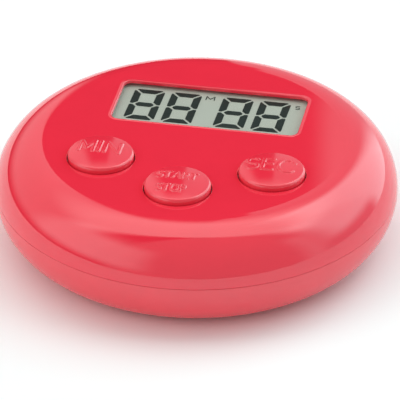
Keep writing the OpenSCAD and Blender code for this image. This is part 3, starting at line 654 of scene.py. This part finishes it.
# Strokes of the letters on a grid one unit tall, each with its width
LETTERS = {
    "A": (0.86, [[(0, 0), (0.43, 1), (0.86, 0)], [(0.16, 0.36), (0.70, 0.36)]]),
    "C": (1.0, [curve(0.52, 0.5, 0.52, 0.55, 42, 318)]),
    "E": (0.56, [[(0.56, 1), (0, 1), (0, 0), (0.56, 0)], [(0, 0.52), (0.5, 0.52)]]),
    "I": (0.0, [[(0, 0), (0, 1)]]),
    "M": (0.75, [[(0, 0), (0.02, 1), (0.375, 0.25), (0.73, 1), (0.75, 0)]]),
    "N": (0.75, [[(0, 0), (0, 1), (0.75, 0), (0.75, 1)]]),
    "O": (0.94, [curve(0.47, 0.5, 0.47, 0.5, 0, 360, 24)]),
    "P": (0.62, [[(0, 0), (0, 1)] + curve(0.36, 0.74, 0.26, 0.26, 90, -90, 8) + [(0, 0.48)]]),
    "R": (0.68, [[(0, 0), (0, 1)] + curve(0.36, 0.75, 0.27, 0.25, 90, -90, 8) + [(0, 0.5)],
                 [(0.34, 0.5), (0.68, 0)]]),
    "S": (0.66, [curve(0.33, 0.75, 0.31, 0.25, 35, 270, 10), curve(0.33, 0.25, 0.33, 0.25, 90, -145, 10)]),
    "T": (0.74, [[(0, 1), (0.74, 1)], [(0.37, 1), (0.37, 0)]]),
}
LETTER_GAP = 0.30


def word_strokes(word, x, y, height, width):
    """Strokes of a word centred on x and y, height tall and width wide, in metres."""
    natural = sum(LETTERS[c][0] for c in word) + LETTER_GAP * (len(word) - 1)
    stretch = width / natural
    left, strokes = x - width / 2, []
    for c in word:
        letter_w, lines = LETTERS[c]
        strokes += [[(left + px * stretch, y + (py - 0.5) * height) for px, py in line] for line in lines]
        left += (letter_w + LETTER_GAP) * stretch
    return strokes


def words_strokes(*words):
    """Strokes of words that are given as text, x, y, height and width in millimetres."""
    strokes = []
    for text, *sizes in words:
        strokes += word_strokes(text, *[size * MM for size in sizes])
    return strokes


def crown_places(reach_r):
    """(x, y) points of a square grid carried over to a disc, so that its cells stay nearly even."""
    steps = np.linspace(-1, 1, CROWN_CELLS + 1)
    u, v = [g.ravel() for g in np.meshgrid(steps, steps, indexing="ij")]
    wide = np.abs(u) > np.abs(v)
    reach = np.where(wide, u, v)
    small = np.where(wide, v, u)
    angle = np.pi / 4 * small / np.where(reach == 0, 1, reach)
    x = np.where(wide, reach * np.cos(angle), reach * np.sin(angle)) * reach_r
    y = np.where(wide, reach * np.sin(angle), reach * np.cos(angle)) * reach_r
    return np.stack([x, y], 1)


def raised(places, strokes, half_stroke):
    """How far the letters stand out of the crown at each place."""
    distance = np.full(len(places), 1.0)
    for line in strokes:
        for a, b in zip(line, line[1:]):
            distance = np.minimum(distance, segment_distance(places, a, b))
    share = np.clip((half_stroke + LETTER_SLOPE - distance) / (2 * LETTER_SLOPE), 0, 1)
    return LETTER_H * share * share * (3 - 2 * share)


def crown(skin, centre, places, heights):
    """Faces between the points of the crown's grid; gives its border back."""
    n = CROWN_CELLS
    points = skin.loop([(centre.x + x, centre.y + y, z) for (x, y), z in zip(places, heights)])
    rows = [points[i * (n + 1):(i + 1) * (n + 1)] for i in range(n + 1)]
    for i in range(n):
        for j in range(n):
            skin.bm.faces.new((rows[i][j], rows[i + 1][j], rows[i + 1][j + 1], rows[i][j + 1]))
    there = [rows[i][0] for i in range(n)] + [rows[n][j] for j in range(n)]
    back = [rows[i][n] for i in range(n, 0, -1)] + [rows[0][j] for j in range(n, 0, -1)]
    return there + back


def make_button(name, half_stroke, *words):
    """Crowned cap with raised words, side wall, flange with its key, and plunger."""
    centre = BUTTONS[name]
    # The crown is a sphere that runs into the rounded edge without a crease
    inset_r = CAP_R - CAP_EDGE_R
    crown_angle = math.asin(inset_r / (CROWN_R - CAP_EDGE_R))
    edge_z = CROWN_Z - CROWN_R + (CROWN_R - CAP_EDGE_R) * math.cos(crown_angle)
    places = crown_places(CROWN_R * math.sin(crown_angle))
    heights = CROWN_Z - CROWN_R + np.sqrt(CROWN_R ** 2 - (places ** 2).sum(1))
    heights += raised(places, words_strokes(*words), half_stroke)

    skin = Skin()
    border = crown(skin, centre, places, heights)

    # Rounded edge and side wall, on the same points round the cap
    turns = [math.atan2(p.co.y - centre.y, p.co.x - centre.x) for p in border]
    side = arc(inset_r, edge_z, CAP_EDGE_R, math.degrees(crown_angle), 90, 10)[1:]
    side += [(CAP_R, FLANGE_TOP_Z), (FLANGE_R, FLANGE_TOP_Z), (FLANGE_R, FLANGE_LOW_Z),
             (PLUNGER_R, FLANGE_LOW_Z), (PLUNGER_R, BUTTON_LOW.z)]
    rings = [skin.loop([(*polar(centre, radius, turn), z) for turn in turns]) for radius, z in side]
    skin.cap(skin.run(border, *rings))
    skin.box((centre.x - KEY_W / 2, centre.y + CAP_R, FLANGE_LOW_Z + EDGE),
             (centre.x + KEY_W / 2, centre.y + FLANGE_R + KEY_REACH, FLANGE_TOP_Z - EDGE))
    return skin.finish(name + "_cap", name, "red_buttons", name)


def make_buttons():
    """The three buttons: half the width of their strokes, then each word as words_strokes takes it."""
    make_button("min_button", 0.32 * MM, ("MIN", -0.4, 1.4, 4.0, 8.0))
    make_button("sec_button", 0.32 * MM, ("SEC", -0.3, 1.0, 4.0, 9.6))
    make_button("start_stop_button", 0.20 * MM,
                ("START", -0.5, 2.2, 2.3, 7.8), ("STOP", -0.9, -2.5, 2.1, 5.6))


# ---------------------------------------------------------------- base pieces
def stadium(centre, length, width, z):
    """Points of a horizontal slot with round ends, a hair short of half round so that no points meet."""
    return round_rect(centre, length, width, width / 2 - 0.001 * MM, z, 12)


def make_battery_cover():
    """Plate with the coin slot, and the hollow neck with its three lugs."""
    skin = Skin()
    low = COVER_LOW.z
    plate = [(COVER_R - COVER_EDGE, low)]
    plate += arc(COVER_R - COVER_EDGE, low + COVER_EDGE, COVER_EDGE, 180, 90, EDGE_STEPS)[1:]
    plate += [(COVER_R, COVER_TOP_Z), (NECK_R, COVER_TOP_Z), (NECK_R, COVER_HIGH.z),
              (NECK_R - NECK_T, COVER_HIGH.z), (NECK_R - NECK_T, COVER_TOP_Z)]
    loops = skin.lathe(BATTERY, plate, HOLE_ROUND)
    skin.cap(loops[-1])
    length, width, depth = COIN_SLOT
    slot = [
        skin.loop(stadium(BATTERY, length + 2 * out, width + 2 * out, low + up))
        for out, up in ((EDGE, 0), (EDGE * 0.3, EDGE * 0.3), (0, EDGE), (0, depth))
    ]
    skin.run(*slot)
    skin.cap(slot[-1])
    skin.cap(loops[0], slot[0])
    for middle_angle in LUG_ANGLES:
        turns = [middle_angle + LUG_HALF_ANGLE * (2 * i / LUG_STEPS - 1) for i in range(LUG_STEPS + 1)]
        tip = [polar(BATTERY, NECK_R + LUG_REACH, turn) for turn in turns]
        root = [polar(BATTERY, NECK_R - NECK_T / 2, turn) for turn in reversed(turns)]
        skin.prism(tip + root, COVER_HIGH.z - LUG_H, COVER_HIGH.z - EDGE)
    return skin.finish("battery_cover_plate", "battery_cover", "red_base", "battery_cover")


def make_magnets():
    """Two discs with rounded edges."""
    skin = Skin()
    flat_r = MAGNET_R - MAGNET_EDGE
    profile = [(flat_r, MAGNET_LOW.z)]
    profile += arc(flat_r, MAGNET_LOW.z + MAGNET_EDGE, MAGNET_EDGE, 180, 90, 3)[1:]
    profile += arc(flat_r, MAGNET_HIGH.z - MAGNET_EDGE, MAGNET_EDGE, 90, 0, 3)
    for centre in MAGNETS:
        loops = skin.lathe(centre, profile, HOLE_ROUND)
        skin.cap(loops[0])
        skin.cap(loops[-1])
    return skin.finish("magnet_discs", "housing", "magnet_nickel", "magnets")


def cross_outline(centre, size):
    """(x, y) points of a cross recess, scaled by size."""
    arm = [Vector(p) * size for p in (
        (CROSS_HALF, CROSS_HALF), (CROSS_HALF, CROSS_ARM), (-CROSS_HALF, CROSS_ARM),
    )]
    spins = [Matrix.Rotation(quarter * math.pi / 2, 2) for quarter in range(4)]
    return [centre.xy + spin @ p for spin in spins for p in arm]


def make_case_screws():
    """Three screws with a cross recess in the head."""
    skin = Skin()
    low, head_top = SCREW_LOW.z, SCREW_LOW.z + SCREW_HEAD_H
    profile = arc(SCREW_HEAD_R - SCREW_HEAD_EDGE, low + SCREW_HEAD_EDGE, SCREW_HEAD_EDGE, 180, 90, EDGE_STEPS)
    profile += [(SCREW_HEAD_R, head_top), (SCREW_R, head_top), (SCREW_R, SCREW_HIGH.z)]
    for centre in SCREWS:
        loops = skin.lathe(centre, profile, SMALL_ROUND)
        skin.cap(loops[-1])
        mouth, bottom = (
            skin.loop([(*p, z) for p in cross_outline(centre, size)])
            for size, z in ((1, low), (CROSS_TAPER, low + CROSS_DEPTH))
        )
        skin.strip(mouth, bottom)
        skin.cap(bottom)
        skin.cap(loops[0], mouth)
    return skin.finish("case_screw_set", "housing", "screw_steel", "case_screws")


# ---------------------------------------------------------------- digits and small marks on the display
DIGIT_W = 6.2 * MM
DIGIT_H = 11.75 * MM
BAR_T = 1.5 * MM
BAR_GAP = 0.45 * MM
TIP_CUT = 0.2 * MM              # how much of each bar's pointed tips is cut off
DIGIT_SLANT = 0.02
DIGITS = Vector((PANE.x - 0.68 * MM, PANE.y + 0.655 * MM))      # middle of the four
DIGIT_X = [side * x * MM for side in (-1, 1) for x in (5.28, 12.865)]
INK_LOW_Z, INK_HIGH_Z = (corner.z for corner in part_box("lcd_segments"))


def digit_bars():
    """Outlines of the seven bars of a digit centred on the origin, ends cut at 45 degrees."""
    w, h, t, cut = DIGIT_W / 2, DIGIT_H / 2, BAR_T, TIP_CUT
    gap = BAR_GAP * math.sqrt(0.5)
    top = [(w - gap - 2 * cut, h), (w - gap - cut, h - cut), (w - gap - t, h - t)]
    top += [(-x, y) for x, y in reversed(top)]
    upright = [
        (w, h - gap - 2 * cut), (w - cut, h - gap - cut), (w - t, h - gap - t), (w - t, t / 2 + gap),
        (w - t / 2 + gap - BAR_GAP / 2, BAR_GAP / 2), (w - cut, BAR_GAP / 2), (w, BAR_GAP / 2 + cut),
    ]
    tip = w - t / 2 - gap
    across = [(w - t - gap, t / 2), (tip - cut, cut), (tip - cut, -cut), (w - t - gap, -t / 2)]
    across += [(-x, y) for x, y in reversed(across)]
    bars = [top, [(x, -y) for x, y in top], across]
    return bars + [[(sx * x, sy * y) for x, y in upright] for sx in (-1, 1) for sy in (-1, 1)]


def make_digits():
    """Four figure eights, as the display shows with all its bars on."""
    skin = Skin()
    for offset in DIGIT_X:
        for bar in digit_bars():
            outline = [(DIGITS.x + offset + x + DIGIT_SLANT * y, DIGITS.y + y) for x, y in bar]
            skin.prism(outline, INK_LOW_Z, INK_HIGH_Z)
    return skin.finish("lcd_digits", "housing", "lcd_ink", "lcd_segments")


def flat_strokes(skin, half, *words):
    """Words on the display, each piece of a stroke as a thin flat bar."""
    for line in words_strokes(*words):
        for a, b in zip(line, line[1:]):
            a, b = Vector(a), Vector(b)
            along = (b - a).normalized()
            across = Vector((-along.y, along.x)) * half
            tip = along * half * 0.8
            outline = [a - tip + across, a - tip - across, b + tip - across, b + tip + across]
            skin.prism(outline, INK_LOW_Z, INK_HIGH_Z)


def make_display_marks():
    """The small M and S beside the digits."""
    skin = Skin()
    flat_strokes(skin, 0.10 * MM, ("M", -0.55, 17.83, 1.3, 1.7))
    flat_strokes(skin, 0.07 * MM, ("S", 17.3, 17.43, 1.2, 0.9))
    return skin.finish("display_marks", "housing", "lcd_ink")


# ---------------------------------------------------------------- floor, light and camera
CAMERA_AZIMUTH = math.radians(10.97)
CAMERA_ELEVATION = math.radians(31.75)
CAMERA_DISTANCE = 800 * MM
CAMERA_SHIFT = (0.717 * MM, -3.230 * MM)    # to the right of the housing's middle, and upwards
SENSOR_W = 36                               # this and the lens in millimetres, as Blender takes them
LENS = 362.4

FLOOR_R = 2.5
FLOOR_PATCH = 0.4
FLOOR_COLOUR = (0.95, 0.95, 0.95)


def make_floor():
    """A pale disc that fills the picture, down to low views."""
    mesh = bpy.data.meshes.new("floor")
    bm = bmesh.new()
    bmesh.ops.create_circle(bm, cap_ends=True, radius=FLOOR_R, segments=64)
    bm.to_mesh(mesh)
    bm.free()
    floor = bpy.data.objects.new("floor", mesh)
    bpy.context.scene.collection.objects.link(floor)
    material, tree, output, place = new_material("floor")
    colour = varied(tree, noise(tree, place, FLOOR_PATCH), FLOOR_COLOUR, 0.004)
    shader = add_node(tree, "ShaderNodeBsdfDiffuse", Color=colour)
    tree.links.new(shader.outputs[0], output.inputs["Surface"])
    mesh.materials.append(material)


# Soft panels of light round the object, with all angles in degrees. Their sides are azimuths, 0 behind the
# object and + to the picture's right; soft is how gradually the left, right, lower and upper edges fade.
NEUTRAL = (1, 1, 1)
COOL = (0.66, 0.98, 1)
WARM = (1.06, 1, 0.98)
PANELS = {
    "near window": dict(side=(25, 62), height=(-2, 60), soft=(7, 6, 2, 10), strength=1.9, colour=COOL),
    "far window": dict(side=(62, 98), height=(15, 60), soft=(6, 12, 8, 10), strength=1.65, colour=COOL),
    "left panel": dict(side=(-130, -80), height=(6, 58), soft=(12, 9, 9, 10), strength=0.75, colour=NEUTRAL),
    "wall, left": dict(side=(-150, -8), height=(7, 50), soft=(10, 2.5, 8, 8), strength=0.8, colour=NEUTRAL),
    "wall, right": dict(side=(2.02, 118), height=(-2, 48), soft=(0.25, 8, 2, 8), strength=0.6, colour=COOL),
    "overhead": dict(side=(-95, 98), height=(50, 91), soft=(12, 14, 9, 1), strength=1.74, colour=WARM),
    "room": dict(side=(106, 230), height=(-91, 91), soft=(8, 8, 1, 1), strength=0.46, colour=WARM),
}


def between(tree, value, low, high, soft_low, soft_high):
    """1 where an angle lies from low to high degrees, fading out at both ends."""
    ends = []
    for edge, soft in ((low, soft_low), (high, soft_high)):
        node = add_node(tree, "ShaderNodeMapRange", Value=value, From_Min=math.radians(edge - soft),
                        From_Max=math.radians(edge + soft))
        node.interpolation_type = "SMOOTHSTEP"
        ends.append(node.outputs["Result"])
    return maths(tree, "SUBTRACT", *ends)


def vector_maths(tree, operation, a):
    """A Vector Math node whose first input is a."""
    node = tree.nodes.new("ShaderNodeVectorMath")
    node.operation = operation
    feed(tree, node.inputs[0], a)
    return node


def panel_light(tree, direction, side, height, soft, strength, colour):
    """The light of one panel in a direction."""
    # Turned so that the panel's middle is at azimuth 0, away from where the angle jumps
    left, right = side
    half = (right - left) / 2
    turn = math.radians((left + right) / 2) - CAMERA_AZIMUTH
    spin = add_node(tree, "ShaderNodeVectorRotate", Vector=direction, Angle=turn)
    spin.rotation_type = "Z_AXIS"
    xyz = add_node(tree, "ShaderNodeSeparateXYZ", Vector=spin.outputs[0])
    azimuth = maths(tree, "ARCTAN2", xyz.outputs["X"], xyz.outputs["Y"])
    elevation = maths(tree, "ARCSINE", xyz.outputs["Z"])
    across = between(tree, azimuth, -half, half, *soft[:2])
    upwards = between(tree, elevation, *height, *soft[2:])
    glow = vector_maths(tree, "SCALE", [strength * c for c in colour])
    tree.links.new(maths(tree, "MULTIPLY", across, upwards), glow.inputs["Scale"])
    return glow.outputs[0]


def make_sky():
    """A world that is dark but for the panels."""
    world = bpy.data.worlds.new("studio")
    bpy.context.scene.world = world
    world.use_nodes = True
    tree = world.node_tree
    tree.nodes.clear()
    direction = tree.nodes.new("ShaderNodeTexCoord").outputs["Generated"]
    light, *others = [panel_light(tree, direction, **panel) for panel in PANELS.values()]
    for other in others:
        total = vector_maths(tree, "ADD", light)
        tree.links.new(other, total.inputs[1])
        light = total.outputs[0]
    studio = add_node(tree, "ShaderNodeBackground", Color=light)
    output = tree.nodes.new("ShaderNodeOutputWorld")
    tree.links.new(studio.outputs[0], output.inputs["Surface"])


def make_camera():
    """A long lens from in front, above and a little to the right, as in the photograph."""
    data = bpy.data.cameras.new("camera")
    data.sensor_width = SENSOR_W
    data.lens = LENS
    data.clip_start, data.clip_end = 0.05, 20
    camera = bpy.data.objects.new("camera", data)
    bpy.context.scene.collection.objects.link(camera)
    a, e = CAMERA_AZIMUTH, CAMERA_ELEVATION
    back = Vector((math.sin(a) * math.cos(e), -math.cos(a) * math.cos(e), math.sin(e)))
    right = Vector((math.cos(a), math.sin(a), 0))
    up = back.cross(right)
    sideways, upwards = CAMERA_SHIFT
    place = Vector((0, 0, RIM_R)) + back * CAMERA_DISTANCE + right * sideways + up * upwards
    camera.matrix_world = Matrix.Translation(place) @ Matrix((right, up, back)).transposed().to_4x4()
    bpy.context.scene.camera = camera


dress_cad_nodes()
make_top_housing()
make_bottom_housing()
make_buttons()
make_battery_cover()
make_magnets()
make_case_screws()
make_digits()
make_display_marks()
make_floor()
make_sky()
make_camera()

scene = bpy.context.scene
scene.view_settings.view_transform = "Standard"
